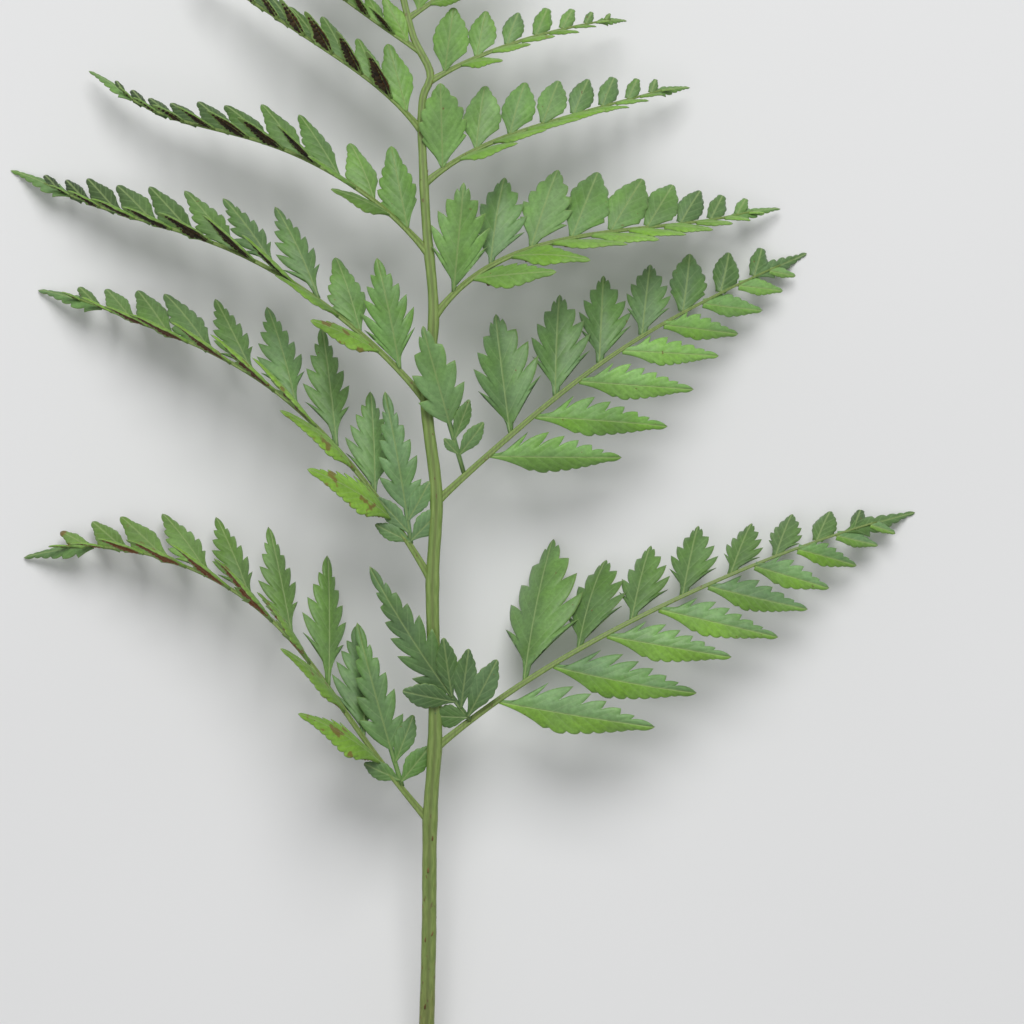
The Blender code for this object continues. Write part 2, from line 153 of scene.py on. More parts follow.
# Painted reflection and light on the halves of lower leaflets: added to the half that turns to the
# light, painting it bluer, and taken from its other half, painting it yellower
HALF_PAINTED_LIGHT = {"right_1": (0.30, -0.05, -0.26), "right_2": (0.10, 0.0, -0.10)}
# How far the sori have ripened to rust brown
RUST = {"left_1": 1.0, "left_2": 0.45}
# Leaflet length from which the lobes of these pinnae grow deep, else CUT_USUALLY
CUT_FROM = {"right_1": 12.0, "right_2": 17.0}
CUT_USUALLY = 22.0
CUT_SPAN = 11.0
# Length of single upper leaflets against the rest of their row
SECOND_ON_LEFT = 0.86
STRETCH = {("right_1", 1): 1.18, ("right_1", 2): 1.10}
STRETCH_FROM_THIRD = {"left_1": 1.16, "left_2": 1.16, "left_3": 1.18, "left_4": 1.08}
# Sori grow on all left-hand pinnae and on the right-hand ones from the third on
FERTILE = LOW_PINNAE[0::2] + LOW_PINNAE[5::2]

BLADE_MIDDLE = 0.5
BLADE_RIM = 0.26
LOWEST = 0.6
STALK_SCALES = 90
SCALY_LENGTH = 150


def catmull(points, per_span):
    """A smooth line through the points."""
    points = np.array(points, float)
    ends = np.vstack([2 * points[0] - points[1], points, 2 * points[-1] - points[-2]])
    line = []
    for before, here, there, after in zip(ends, ends[1:], ends[2:], ends[3:]):
        square = 2 * before - 5 * here + 4 * there - after
        cube = 3 * here - before - 3 * there + after
        for t in np.arange(per_span) / per_span:
            line.append(0.5 * (2 * here + (there - before) * t + square * t**2 + cube * t**3))
    line.append(points[-1])
    return np.array(line)


RACHIS = catmull(RACHIS_LINE, 24)


def rachis_point(along):
    return np.array([np.interp(along, RACHIS[:, 1], RACHIS[:, k]) for k in range(3)])


def rachis_radius(along):
    return np.interp(along, *zip(*RACHIS_RADII))


def unit(vector):
    return vector / np.linalg.norm(vector, axis=-1, keepdims=True)


def wander(*keys):
    """A fixed value from -1 to 1 for each set of keys, so that no two leaflets are alike."""
    value = 0.0
    for place, key in enumerate(keys):
        value += math.sin((place + 1) * 12.9898 + key * 78.233) * 437.585
    return 2 * (value - math.floor(value)) - 1


def top_pinnae():
    """The small pinnae near the tip, alternate and ever shorter, and the last leaflets."""
    pinnae = []
    for k in range(TOP_COUNT):
        share = k / (TOP_COUNT - 1)
        start = TOP_START + (TOP_END - TOP_START) * share**0.9
        length = TOP_LENGTH * (1 - 0.84 * share**0.9) ** TOP_TAPER
        height = rachis_point(start)[2] - 0.2 * length
        side = 1 if k % 2 == 0 else -1
        heading = 30 + 4 * side + 14 * share
        pairs = max(3, round(7 - 4 * share))
        body = 3.0 + 0.2 * length
        bend = (heading, heading, heading + 2, heading + 4)
        row = (start, length, bend, 24, (18, 40, 50), height, pairs, body, body)
        pinnae.append(Pinna(f"top_{k}", side, *row, (1, 10), (50, 52, 46)))
    bend, slants = (96, 96, 95, 93), (40, 42, 42)
    tip = Pinna("tip", 1, 294, 22, bend, 0, (12, 12, 12), 12.0, 6, 6.0, 6.0, (1, 0), slants)
    return pinnae + [tip]


class Costa:
    """The midrib of one pinna, with its place and frame at any share of its length."""

    SAMPLES = 120

    def __init__(self, pinna):
        self.pinna = pinna
        start = rachis_point(pinna.start)
        shares = np.linspace(0, 1, self.SAMPLES + 1)
        heading = np.radians(catmull([(h,) for h in pinna.bend], 40)[:, 0])
        heading = np.interp(shares, np.linspace(0, 1, len(heading)), heading)
        step = pinna.length / self.SAMPLES
        flat = np.column_stack([pinna.side * np.cos(heading), np.sin(heading)]) * step
        flat = np.vstack([[0, 0], np.cumsum(flat[:-1], axis=0)]) + start[:2]
        rise = COSTA_ARCH * pinna.length * np.sin(np.pi * shares)
        height = start[2] + (pinna.tip_height - start[2]) * shares**COSTA_FALL + rise
        self.points = np.column_stack([flat, height])
        self.shares = shares

    def point(self, share):
        return np.array([np.interp(share, self.shares, self.points[:, k]) for k in range(3)])

    def frame(self, share):
        """Tangent, the direction toward the frond's tip, and the face's normal, with the roll."""
        share = min(max(share, 0.0), 1.0)
        low, high = max(share - 0.02, 0.0), min(share + 0.02, 1.0)
        tangent = unit(self.point(high) - self.point(low))
        across = unit(np.cross((0, 0, 1), tangent)) * self.pinna.side
        normal = np.cross(tangent, across) * self.pinna.side
        roll = math.radians(self.pinna.roll) * min(1.0, ROLL_AT_BASE + share / ROLL_SPAN)
        return (
            tangent,
            math.cos(roll) * across - math.sin(roll) * normal,
            math.cos(roll) * normal + math.sin(roll) * across,
        )

    def fine(self):
        return FINE_LEAST + (1 - FINE_LEAST) * min(1.0, self.pinna.length / FINE_BELOW)

    def width(self, share):
        return (COSTA_WIDTH + (COSTA_WIDTH_AT_TIP - COSTA_WIDTH) * share) * self.fine()


Leaflet = namedtuple("Leaflet", "share row length width slant root index")


def stretch(pinna, k):
    """Length of one upper leaflet against the rest of its row."""
    if k > 1 and pinna.name in STRETCH_FROM_THIRD:
        return STRETCH_FROM_THIRD[pinna.name]
    share = STRETCH.get((pinna.name, k), 1.0)
    if k == 1 and pinna.name.startswith("left"):
        share = SECOND_ON_LEFT
    if k < 2:
        share *= 1 + (pinna.first[0] - 1) * (SECOND_LIKE_FIRST if k else 1)
    return share


def leaflets(pinna):
    """Both rows of leaflets of one pinna, from its base to its tip."""
    rows = []
    first_slant, upper_slant, lower_slant = pinna.slants
    for row, body, slant in ((1, pinna.upper, upper_slant), (-1, pinna.lower, lower_slant)):
        shift = 0.0 if row > 0 else 0.5
        places = []
        for k in range(pinna.pairs + 1):
            left = 1 - (k + shift) / (pinna.pairs + PAST_LAST)
            places.append(1 - (1 - FIRST_AT) * left**CROWDING)
        for k in range(pinna.pairs):
            spacing = (places[k + 1] - places[k]) * pinna.length
            change = 1 + LENGTH_CHANGE * wander(pinna.start, row, k)
            length = body * (1 - places[k] ** LENGTH_FALL) * change
            angle = slant - SLANT_FALL * places[k] + SLANT_CHANGE * wander(k, pinna.start, row)
            if row > 0:
                length *= stretch(pinna, k)
            lane = spacing * math.sin(math.radians(angle))
            if k == 0 and row > 0:
                angle, lane = first_slant, FIRST_LANE * spacing
            kind = 0 if row > 0 else 1
            width = min(WIDTH_SHARE[kind] * length, LANE_SHARE[kind] * lane)
            root = min(0.30 * spacing, 0.2 * width + 0.4, 0.9 * FIRST_AT * pinna.length)
            rows.append(Leaflet(places[k], row, length, width, math.radians(angle), root, k))
    return rows


class Piece:
    """Points, faces and surface values that become one mesh."""

    def __init__(self, name):
        self.name = name
        self.points, self.faces, self.slots, self.lines, self.tones = [], [], [], [], []
        self.count = 0

    def add(self, points, faces, slots, lines, tone):
        """faces has four columns, the last one -1 for a triangle."""
        faces = np.array(faces, int)
        self.points.append(points)
        self.faces.append(np.where(faces < 0, -1, faces + self.count))
        self.slots.append(np.broadcast_to(slots, len(faces)))
        self.lines.append(np.broadcast_to(lines, (len(points), 3)))
        self.tones.append(np.broadcast_to(tone, (len(points), 3)))
        self.count += len(points)

    def build(self, materials, slot_name):
        points = (np.vstack(self.points) - CENTRE) * MM
        points[:, 2] = np.maximum(points[:, 2], 0.0001)
        faces = np.vstack(self.faces)
        used = faces >= 0
        totals = used.sum(axis=1)
        mesh = bpy.data.meshes.new(self.name)
        mesh.vertices.add(len(points))
        mesh.vertices.foreach_set("co", points.ravel())
        mesh.loops.add(int(totals.sum()))
        mesh.loops.foreach_set("vertex_index", faces[used])
        mesh.polygons.add(len(faces))
        mesh.polygons.foreach_set("loop_start", np.concatenate([[0], np.cumsum(totals)[:-1]]))
        mesh.polygons.foreach_set("loop_total", totals)
        mesh.polygons.foreach_set("material_index", np.concatenate(self.slots))
        mesh.polygons.foreach_set("use_smooth", np.ones(len(faces), bool))
        for name, values in (("lines", self.lines), ("tone", self.tones)):
            layer = mesh.attributes.new(name, "FLOAT_VECTOR", "POINT")
            layer.data.foreach_set("vector", np.vstack(values).ravel())
        mesh.update(calc_edges=True)
        for material in materials:
            mesh.materials.append(material)
        item = bpy.data.objects.new(self.name, mesh)
        bpy.context.scene.collection.objects.link(item)
        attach(item, "root")
        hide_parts("frond")


def grid_faces(columns, rows):
    """Quads between neighbouring points of a grid of columns and rows."""
    i, j = np.meshgrid(np.arange(columns - 1) * rows, np.arange(rows - 1), indexing="ij")
    here = (i + j).ravel()
    return np.column_stack([here, here + rows, here + rows + 1, here + 1])


def ring_faces(rings, sides):
    """Quads between neighbouring rings of points."""
    i, j = np.meshgrid(np.arange(rings - 1) * sides, np.arange(sides), indexing="ij")
    i, j = i.ravel(), j.ravel()
    after = (j + 1) % sides
    return np.column_stack([i + j, i + after, i + sides + after, i + sides + j])


def fan(sides, ring, tip):
    """Triangles from a ring of points to its end point."""
    k, one = np.arange(sides), np.ones(sides, int)
    return np.column_stack([ring + k, ring + (k + 1) % sides, one * tip, -one])


def flipped(faces):
    """The same quads and triangles, facing the other way."""
    return np.where(faces[:, 3:] < 0, faces[:, [1, 0, 2, 3]], faces[:, ::-1])


# Angle of the side veins at the base, its fall toward the tip, how the lobes crowd, where a notch
# lies between two veins, and the envelope's fall from which a leaflet is blunt
VEIN_ANGLE = 44
VEIN_FALL = 18
LOBE_SPACING = 0.76
NOTCH_AT = 0.45
BLUNT_FROM = 1.7


def envelope(u, peak, sharp):
    """Half-width of a leaflet through its teeth's tips, as a share of the widest."""
    if u < peak:
        return (u / peak) ** (0.9 if sharp < BLUNT_FROM else 0.6)
    return 1 - ((u - peak) / (1 - peak)) ** sharp


# One half of a leaflet: half-width, number of teeth, how deep they are cut, the envelope's widest
# place and fall, the lowest tooth's place, and the half-width at the root
Half = namedtuple("Half", "half lobes depth peak sharp first root")
# Big first leaflets, whose lowest lobes stand free: the midrib's share without a blade, the main
# blade's half-width, number of lobes, widest place and fall, and the free lobes, each with its
# side, place on the midrib, angle, length, width share and lift
Free = namedtuple("Free", "bare half lobes peak sharp extra")
FREE_LOBES = {
    "right_1": Free(
        0.20, 0.145, 6, 0.42, 1.25,
        (
            (1, 0.02, 63, 0.36, 0.40), (1, 0.08, 43, 0.34, 0.38), (1, 0.16, 27, 0.34, 0.36),
            (-1, 0.02, 52, 0.19, 0.75), (-1, 0.13, 38, 0.30, 0.48, 0.34),
        ),
    ),
    "right_2": Free(
        0.36, 0.170, 4, 0.60, 1.7,
        ((1, 0.13, 52, 0.27, 0.42), (1, 0.24, 36, 0.28, 0.38), (-1, 0.14, 26, 0.14, 0.50)),
    ),
    "left_1": Free(
        0.24, 0.140, 5, 0.44, 1.3,
        ((-1, 0.03, 56, 0.27, 0.50), (-1, 0.15, 38, 0.30, 0.42), (1, 0.04, 48, 0.24, 0.46)),
    ),
    "left_2": Free(
        0.24, 0.145, 5, 0.46, 1.35,
        (
            (-1, 0.02, 52, 0.29, 0.54), (-1, 0.15, 37, 0.30, 0.42),
            (1, 0.07, 34, 0.31, 0.40), (1, 0.01, 56, 0.26, 0.42),
        ),
    ),
}


def half_keys(length, shape, offset, bare=0.0):
    """Tips and notches of one half, as (vein's start on the midrib, across, along, is a tip)."""
    keys = [(0.0, shape.root, 0.0, False)]
    if bare:
        keys.append((bare - 0.02, 0.8, bare * length, False))
    tips = []
    for k in range(shape.lobes):
        top = 0.94 if shape.sharp < BLUNT_FROM else 1.04
        u = shape.first + (top - shape.first) * ((k + offset) / shape.lobes) ** LOBE_SPACING
        x = shape.half * envelope(u, shape.peak, shape.sharp)
        angle = math.radians(VEIN_ANGLE - VEIN_FALL * u)
        start = max(bare + 0.03 + 0.03 * k, u - x / math.tan(angle) / length)
        if tips:
            before, bx, by = tips[-1]
            share = 1 - shape.depth * (1.4 - 1.15 * u)
            mid = before + NOTCH_AT * (start - before)
            out_x = (bx + x) / 2 * share
            out_y = ((by - before * length) + (u - start) * length) / 2 * share + mid * length
            keys.append((mid, out_x, out_y, False))
        keys.append((start, x, u * length, True))
        tips.append(keys[-1][:3])
    before, bx, by = tips[-1]
    end = max(before + 0.05, 0.82)
    mid = before + NOTCH_AT * (end - before)
    share = 1 - 0.6 * shape.depth
    keys.append((mid, bx * share, mid * length + (by - before * length) * share, False))
    keys.append((end, 0.0, length, True))
    return keys


def margin_columns(keys, fine, soft):
    """Veins between the key ones: start, margin point, and the middle vein of their lobe."""
    rows = []
    for k, (here, there) in enumerate(zip(keys, keys[1:])):
        to_tip = there[3]
        steps = (5 if to_tip else 3) if fine else (4 if to_tip else 2)
        tip = there if to_tip else here
        run = np.array([there[1] - here[1], there[2] - here[2]])
        bulge = 0.12 - 0.04 * soft if to_tip else 0.03
        if k == 0:
            bulge = -0.05 - 0.08 * soft if to_tip else 0.0
        if k == len(keys) - 2:
            bulge = 0.13
        outward = np.array([run[1], -run[0]]) * bulge
        for j in range(steps):
            t = j / steps
            start = here[0] + (there[0] - here[0]) * t
            x, y = np.array(here[1:3]) + run * t + outward * 4 * t * (1 - t)
            rows.append((start, x, y, *tip[:3]))
    rows.append(keys[-1][:3] * 2)
    return np.array(rows)


class Blade:
    """The curved surface of one leaflet, in its own directions."""

    DROOP = 0.14
    TWIST = 0.16
    WAVE = 0.035
    WAVES = 9.0
    SICKLE = 0.05
    ARCH = 0.10
    CREASE = 0.3

    def __init__(self, origin, along, side, face, length, width, seed, tent=TENT):
        self.origin, self.along, self.side, self.face = origin, along, side, face
        self.length, self.width = length, max(width, 1.0)
        self.droop = self.DROOP * (1 + 0.5 * wander(seed, 5))
        self.twist = self.TWIST * wander(seed, 6)
        self.wave = self.WAVE * (1 + 0.6 * wander(seed, 7))
        self.phase = 3.1 * wander(seed, 8)
        self.sickle = self.SICKLE * wander(seed, 9)
        self.tent = tent * (1 + 0.4 * wander(seed, 10))

    def at(self, x, y):
        share = y / self.length
        out = 2 * x / self.width
        ripple = np.sin(self.WAVES * share + self.phase + 1.5 * np.sign(x)) * out**2
        height = self.wave * self.width * ripple - self.droop * y * share
        height = height - self.ARCH * x * x / self.width
        turn = self.twist * share
        across = x * np.cos(turn) + self.sickle * y * share
        slope = np.sqrt(x * x + self.CREASE**2) - self.CREASE
        height = height + x * np.sin(turn) - self.tent * slope
        return (
            self.origin
            + self.along * y[..., None]
            + self.side * across[..., None]
            + self.face * height[..., None]
        )

    def normal(self, x, y):
        step = 0.05
        here = self.at(x, y)
        over = self.at(x + step, y) - here
        ahead = self.at(x, y + step) - here
        normal = unit(np.cross(over, ahead))
        return normal * self.hand()

    def hand(self):
        return np.sign(np.dot(np.cross(self.side, self.along), self.face))


# Depth and half-width of the midrib's groove and of a side vein, the swelling between veins, and
# the margin's thinning and where it begins
GROOVE = (0.16, 0.45)
SIDE_VEIN = (0.06, 0.4)
PUFF = (0.08, 0.9)
RIM = (0.30, 0.74)


def add_half(piece, blade, keys, sign, fine, tone, soft=0.0):
    """One half of a leaflet, from midrib to margin, closed on both faces."""
    columns = margin_columns(keys, fine, soft)
    start, out_x, out_y, tip_start, tip_x, tip_y = columns.T[..., None]
    start_y, tip_start = start * blade.length, tip_start * blade.length
    reach = np.maximum(np.hypot(out_x, out_y - start_y), 0.05)
    near = np.minimum(0.35 / np.maximum(reach, 0.4), 0.16)
    spread = (0.3, 0.52, 0.74, 0.91, 1.0) if fine else (0.4, 0.74, 1.0)
    shares = np.hstack([0 * near, near] + [0 * near + s for s in spread])
    x = sign * out_x * shares
    y = start_y + (out_y - start_y) * shares
    run = np.maximum(np.hypot(tip_x, tip_y - tip_start), 0.05)
    off = (np.abs(x) * (tip_y - tip_start) - (y - tip_start) * tip_x) / run
    surface = blade.at(x, y)
    surface[..., 2] = np.maximum(surface[..., 2], LOWEST)
    normal = blade.normal(x, y)
    rows = shares.shape[1]
    count = len(columns)
    thick = BLADE_MIDDLE + (BLADE_RIM - BLADE_MIDDLE) * shares**2
    scale = min(1.0, 0.35 + blade.length / 40)
    rib = np.abs(x)
    groove = -GROOVE[0] * np.exp(-((rib / GROOVE[1]) ** 2))
    vein = -SIDE_VEIN[0] * np.exp(-((off / SIDE_VEIN[1]) ** 2)) * (1 - shares**2)
    puff = PUFF[0] * np.sin(np.pi * shares) * (1 - np.exp(-((off / PUFF[1]) ** 2)))
    rim = -RIM[0] * np.clip(shares - RIM[1], 0, 1) / (1 - RIM[1])
    relief = (groove + vein + puff + rim) * scale
    top = surface + normal * (thick / 2 + relief)[..., None]
    bottom = surface - normal * (thick / 2 - rim * scale - 0.6 * (vein + puff) * scale)[..., None]
    quads = grid_faces(count, rows)
    total = count * rows
    top_up = sign * blade.hand() < 0
    upper = quads if top_up else quads[:, ::-1]
    lower = (quads[:, ::-1] if top_up else quads) + total
    ring = np.concatenate(
        [
            np.arange(count) * rows,
            (count - 1) * rows + np.arange(1, rows),
            np.arange(count - 2, -1, -1) * rows + rows - 1,
            np.arange(rows - 2, 0, -1),
        ]
    )
    after = np.roll(ring, -1)
    wall = np.column_stack([after, ring, ring + total, after + total])
    if not top_up:
        wall = wall[:, ::-1]
    lines = np.stack([rib, np.abs(off), shares], axis=-1).reshape(-1, 3)
    slots = np.concatenate([np.zeros(len(upper), int), np.ones(len(lower) + len(wall), int)])
    faces = np.vstack([upper, lower, wall])
    points = np.vstack([top.reshape(-1, 3), bottom.reshape(-1, 3)])
    piece.add(points, faces, slots, np.vstack([lines, lines]), tone)


def smooth(value, low, high):
    t = min(1.0, max(0.0, (value - low) / (high - low)))
    return t * t * (3 - 2 * t)


def half_shape(leaflet, sign, root, acute, cut_from):
    """Outline of one side of a leaflet: bigger ones are cut deeper."""
    length, big = leaflet.length, smooth(leaflet.length, cut_from, cut_from + CUT_SPAN)
    half = leaflet.width / 2
    if leaflet.row > 0:
        lobes = 3 if length < 11 else 5
        depth = 0.06 + 0.68 * big
        sharp = 1.45 + (0.0 if acute else 1.15 - 0.75 * big)
        peak = 0.38 + (0.04 if acute else 0.10) * big
        half *= (1.08 if sign > 0 else 0.92) * (1.0 if acute else 1.12)
        return Half(half, lobes, depth, peak, sharp, peak - 0.08, root)
    if sign > 0:
        lobes = 3 if length < 12 else 5 if length < 34 else 6
        depth = 0.12 + 0.42 * big + 0.20 * smooth(length, 32, 42)
        return Half(half * 1.24, lobes, depth, 0.32, 1.45, 0.25, root)
    lobes = 3 if length < 12 else 5 if length < 28 else 8
    return Half(half * 0.90, lobes, 0.10 + 0.04 * big, 0.36, 1.5, 0.30, root)


def add_leaflet(leaves, ribs, sori, costa, leaflet, tones):
    """One leaflet with its midrib, lobes and sori."""
    pinna = costa.pinna
    tangent, toward, normal = costa.frame(leaflet.share)
    first = leaflet.index == 0 and leaflet.row > 0
    upper_vee, low_vee, far_vee = pinna.vee
    if leaflet.row > 0:
        vee = math.radians(upper_vee + (pinna.first[1] if first else 0.0))
    else:
        vee = math.radians(low_vee + (far_vee - low_vee) * smooth(leaflet.share, *FOLD_SPAN))
    reach = math.cos(vee) * toward * leaflet.row + math.sin(vee) * normal
    face = math.cos(vee) * normal - math.sin(vee) * toward * leaflet.row
    along = math.cos(leaflet.slant) * tangent + math.sin(leaflet.slant) * reach
    side = math.sin(leaflet.slant) * tangent - math.cos(leaflet.slant) * reach
    seed = pinna.start * 7 + leaflet.index * 3 + leaflet.row
    shingle = math.radians(SHINGLE * (1 + SHINGLE_CHANGE * wander(seed, 4)))
    side, face = (
        math.cos(shingle) * side + math.sin(shingle) * face,
        math.cos(shingle) * face - math.sin(shingle) * side,
    )
    origin = costa.point(leaflet.share) + reach * costa.width(leaflet.share) * 0.3
    free = FREE_LOBES.get(pinna.name) if first else None
    tent = TENT_OF_FREE if free else TENT
    if first and pinna.name == "right_1":
        origin = origin + face * CLEAR_OF_RACHIS
    blade = Blade(origin, along, side, face, leaflet.length, leaflet.width, seed, tent)
    change = [most * wander(seed, k + 1) for k, most in enumerate(TONE_CHANGE)]
    tone = np.array(tones[0 if leaflet.row > 0 else 1]) + change
    half_painted_light = np.zeros(3)
    if leaflet.row > 0:
        fall, gain = FADE.get(pinna.name, FADE_ON_LEFT if pinna.side < 0 else FADE_ON_RIGHT)
        tone[1] -= fall * (leaflet.share - FADE_FROM)
        tone[2] += gain * (leaflet.share - FADE_FROM)
    else:
        # Lower leaflets: one half is painted bluer as a reflection of the sky, the other yellower
        # as its shaded side
        half_painted_light = np.array(HALF_PAINTED_LIGHT.get(pinna.name, half_painted_light))
    root = min(leaflet.root, 0.45 + 1.4 * leaflet.share)
    halves = []
    for sign in (-1, 1):
        if free:
            wide = leaflet.length * free.half
            shape = Half(wide, free.lobes, 0.74, free.peak, free.sharp, free.bare + 0.17, 0.7)
            keys = half_keys(leaflet.length, shape, 0.2 if sign > 0 else 0.0, free.bare)
            free_lobes(leaves, blade, sign, tone, free.extra)
        else:
            cut_from = CUT_FROM.get(pinna.name, CUT_USUALLY)
            shape = half_shape(leaflet, sign, root, pinna.side < 0, cut_from)
            keys = half_keys(leaflet.length, shape, 0.12 if sign > 0 else 0.0)
        soft = smooth(shape.depth, 0.2, 0.5)
        fine = leaflet.length > FINE_LEAFLET
        add_half(leaves, blade, keys, sign, fine, tone + sign * half_painted_light, soft)
        halves.append((sign, keys))
    add_rib(ribs, blade, leaflet.length * RIB_REACH, 0.5 * min(1.0, 0.4 + leaflet.length / 40))
    open_face = leaflet.row > 0 and pinna.side > 0
    if open_face or pinna not in FERTILE or leaflet.share >= LAST_SORI:
        return
    dense = leaflet.row < 0 and pinna.vee[2] > DENSE_FOLD
    for sign, keys in halves:
        add_sori(sori, blade, keys, sign, dense, int(leaflet.row > 0), RUST.get(pinna.name, 0.0))


def free_lobes(leaves, blade, sign, tone, extra):
    """The lowest lobes of a big first leaflet stand free, each a small leaflet of its own."""
    for side, place, angle, share, wide, *lift in extra:
        if side != sign:
            continue
        length = share * blade.length
        turn = math.radians(angle)
        start = (0.0, place * blade.length)
        way = (sign * math.sin(turn), math.cos(turn))
        aside = (sign * math.cos(turn), -math.sin(turn))
        small = FlatBlade(blade, start, way, aside, length, lift[0] if lift else 0.10)
        for half_sign in (-1, 1):
            shape = Half(length * wide / 2, 5, 0.06, 0.5, 2.4, 0.3, 0.4)
            keys = half_keys(length, shape, 0.1 * (half_sign > 0))
            add_half(leaves, small, keys, half_sign, True, tone)


class FlatBlade(Blade):
    """A lobe's own directions on the surface of the leaflet that carries it."""

    def __init__(self, blade, start, along, side, length, lift):
        self.blade, self.length, self.lift, self.face = blade, length, lift, blade.face
        self.start, self.flat_along, self.flat_side = start, along, side
        self.side = blade.side * side[0] + blade.along * side[1]
        self.along = blade.side * along[0] + blade.along * along[1]

    def at(self, x, y):
        wide = self.start[0] + self.flat_along[0] * y + self.flat_side[0] * x
        high = self.start[1] + self.flat_along[1] * y + self.flat_side[1] * x
        lift = self.lift * y - 0.02 * y * y / self.length
        return self.blade.at(wide, high) + self.face * lift[..., None]


def add_rib(piece, blade, length, radius):
    """The raised midrib under a leaflet, tapering to nothing."""
    rings, sides = 12, 6
    y = np.linspace(-0.4, length, rings)
    centre = blade.at(0 * y, y)
    normal = blade.normal(0 * y, y)
    taper = radius * (1 - 0.85 * np.linspace(0, 1, rings))
    centre = centre - normal * (0.12 + 0.55 * taper)[:, None]
    forward = unit(np.gradient(centre, axis=0))
    across = unit(np.cross(forward, normal))
    add_tube(piece, centre, across, normal, taper, taper, sides, 0)


def add_tube(piece, centre, across, up, wide, high, sides, groove, slot=0, cut_slot=None):
    """A tube with a groove along its upper side and closed ends, the first one cut."""
    rings = len(centre)
    turn = np.arange(sides) * 2 * math.pi / sides + math.pi / 2
    from_top = np.abs((turn - math.pi / 2 + math.pi) % (2 * math.pi) - math.pi)
    dent = 1 - groove * np.exp(-((from_top / 0.42) ** 2))
    ridge = 1 + 0.3 * groove * np.exp(-(((from_top - 0.75) / 0.3) ** 2))
    shape = dent * ridge
    points = (
        centre[:, None]
        + across[:, None] * (np.cos(turn) * shape)[:, None] * wide[:, None, None]
        + up[:, None] * (np.sin(turn) * shape)[:, None] * high[:, None, None]
    )
    flat = points.reshape(-1, 3)
    ends = np.vstack([centre[:1], centre[-1:]])
    last, total = (rings - 1) * sides, rings * sides
    caps = [flipped(fan(sides, 0, total)), fan(sides, last, total + 1)]
    faces = np.vstack([ring_faces(rings, sides), *caps])
    lines = np.zeros((len(flat) + 2, 3))
    lines[:-2, 0] = np.tile(from_top, rings) if groove else math.pi
    if np.dot(np.cross(across[0], up[0]), centre[1] - centre[0]) < 0:
        faces = flipped(faces)
    slots = np.full(len(faces), slot)
    if cut_slot is not None:
        slots[-2 * sides : -sides] = cut_slot
    piece.add(np.vstack([flat, ends]), faces, slots, lines, (0, 0, 0))


def add_sori(piece, blade, keys, sign, dense, first, rust):
    """Round spore patches on the underside, one on each lobe's vein and one between."""
    margin = np.array([key[1:3] for key in keys], float)
    quarters = np.arange(4)[:, None] / 4
    pairs = zip(margin, margin[1:])
    edge = np.vstack([here + (there - here) * quarters for here, there in pairs])
    spots = []
    tips = [np.array(key[:3]) for key in keys if key[3]][first:-1]
    for k, tip in enumerate(tips):
        spots.append((tip, 0.46))
        if k > 0:
            spots.append(((tip + tips[k - 1]) / 2, 0.42))
    places = []
    for (start, out_x, out_y), share in spots:
        start_y = start * blade.length
        size = min(0.95, 0.20 * math.hypot(out_x, out_y - start_y) + 0.25)
        places.append((out_x * share, start_y + (out_y - start_y) * share, size))
    if dense:
        places = []
        for y in np.arange(0.12, 0.86, 1.35 / blade.length) * blade.length:
            wide = np.interp(y, edge[:, 1], edge[:, 0])
            places.append((0.40 * wide, y, min(1.05, 0.40 * wide)))
            if wide > 2.8:
                places.append((0.74 * wide, y + 0.5, 0.20 * wide))
    for k, (x, y, size) in enumerate(places):
        room = np.hypot(edge[:, 0] - x, edge[:, 1] - y).min()
        inside = x < np.interp(y, edge[:, 1], edge[:, 0]) - 0.2
        size *= 1 + 0.15 * wander(blade.length, k, 3)
        if dense:
            size = min(size, 0.85 * room)
        if size < 0.3 or room < 1.15 * size or not inside:
            continue
        x = sign * max(x, 0.6 * size)
        add_sorus(piece, blade, x, y, size, wander(y, k, sign), rust)


def add_sorus(piece, blade, x, y, size, seed, rust):
    """A domed cover over a lumpy ring of spore cases."""
    sides = 9
    turn = np.arange(sides) * 2 * math.pi / sides + seed
    radii = np.array([1.0, 1.02, 0.72, 0.66, 0.3])
    heights = np.array([0.0, 0.22, 0.42, 0.56, 0.66])
    lumps = np.ones((len(radii), sides))
    lumps[:2] += 0.10 * np.cos(4 * turn + seed * 9)
    reach = (size * radii)[:, None] * lumps
    px, py = (x + reach * np.cos(turn)).ravel(), (y + reach * np.sin(turn)).ravel()
    lift = np.repeat(heights * size, sides)
    surface = blade.at(px, py)
    normal = blade.normal(px, py)
    points = surface - normal * (0.10 + lift)[:, None]
    middle = np.array([x]), np.array([y])
    tip = blade.at(*middle) - blade.normal(*middle) * (0.10 + 0.62 * size)
    last = (len(radii) - 1) * sides
    faces = np.vstack([ring_faces(len(radii), sides), fan(sides, last, last + sides)])
    if blade.hand() > 0:
        faces = flipped(faces)
    lines = np.zeros((len(points) + 1, 3))
    lines[:-1, 0] = np.repeat(radii, sides)
    piece.add(np.vstack([points, tip]), faces, 0, lines, (0.5 + 0.5 * seed, rust, 0))


